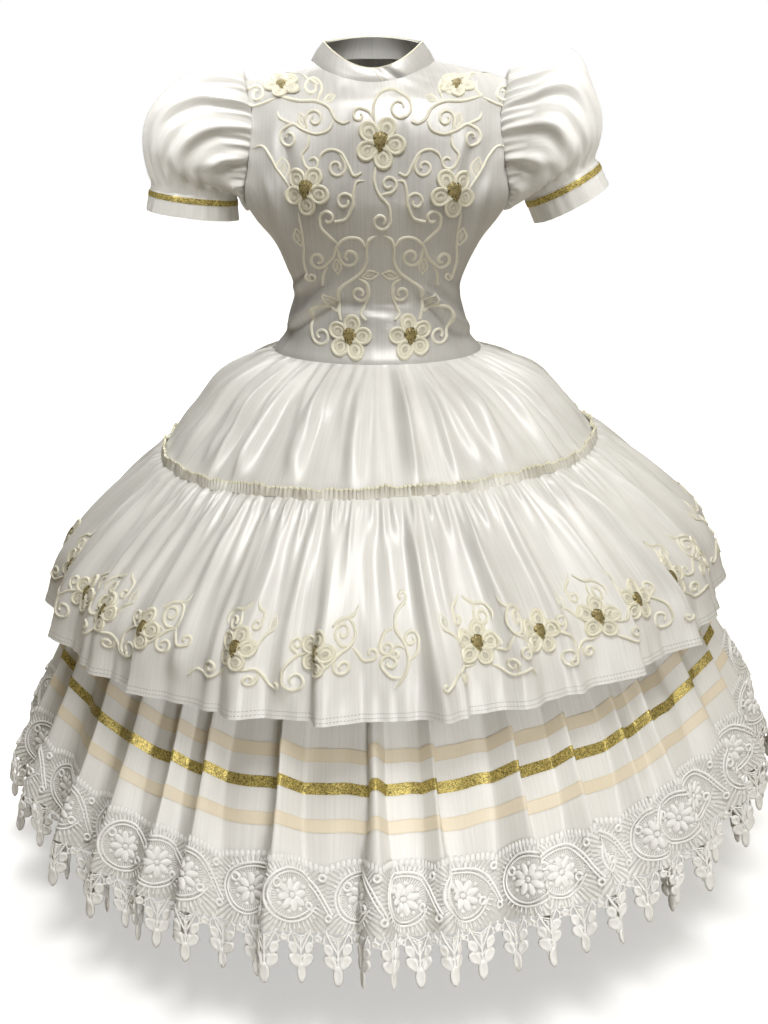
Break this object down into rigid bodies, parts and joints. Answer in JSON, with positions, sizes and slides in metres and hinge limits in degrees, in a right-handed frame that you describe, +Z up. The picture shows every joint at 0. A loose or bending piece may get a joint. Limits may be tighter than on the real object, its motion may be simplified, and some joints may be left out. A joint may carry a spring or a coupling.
{
  "type": "escaramuza dress",
  "caption": "Girl's white satin escaramuza riding dress, hollow as when worn: embroidered bodice, puffed sleeves, tiered gathered skirts, ribbon bands and a guipure lace hem.",
  "frame": {"origin": "middle of the neck opening, level with the shoulders, where the wearer carries the dress", "axes": "+Z up along the wearer's body, the wearer's front faces -Y, +X to the right of someone who looks at the front"},
  "size_m": [1.0128, 1.0099, 0.9313],
  "materials": {
    "white_satin": "slubbed satin",
    "embroidery": "raised satin stitch",
    "cream_edging": "gathered, overlocked edge",
    "gold_ribbon": "metallic woven ribbon",
    "peach_ribbon": "satin ribbon",
    "guipure_lace": "matt raised lace"
  },
  "bodies": {
    "root": {"bodice_back_left": "white_satin", "bodice_back_right": "white_satin", "bodice_front": "white_satin", "bodice_side_left": "white_satin", "bodice_side_right": "white_satin", "collar_left": "white_satin", "collar_right": "white_satin", "cuff_left": "white_satin", "cuff_ribbon_left": "gold_ribbon", "cuff_ribbon_right": "gold_ribbon", "cuff_right": "white_satin", "flounce_back": "white_satin", "flounce_front": "white_satin", "flounce_heading": "cream_edging", "flower_bust_left": "embroidery", "flower_bust_right": "embroidery", "flower_chest": "embroidery", "flower_shoulder_left": "embroidery", "flower_shoulder_right": "embroidery", "flower_waist_left": "embroidery", "flower_waist_right": "embroidery", "lace_back": "guipure_lace", "lace_front": "guipure_lace", "ribbon_gold": "gold_ribbon", "ribbon_peach_lower": "peach_ribbon", "ribbon_peach_upper": "peach_ribbon", "skirt_tier_back": "white_satin", "skirt_tier_front": "white_satin", "sleeve_left": "white_satin", "sleeve_right": "white_satin", "underskirt_back": "white_satin", "underskirt_front": "white_satin", "underskirt_yoke": "white_satin"}
  },
  "joints": []
}
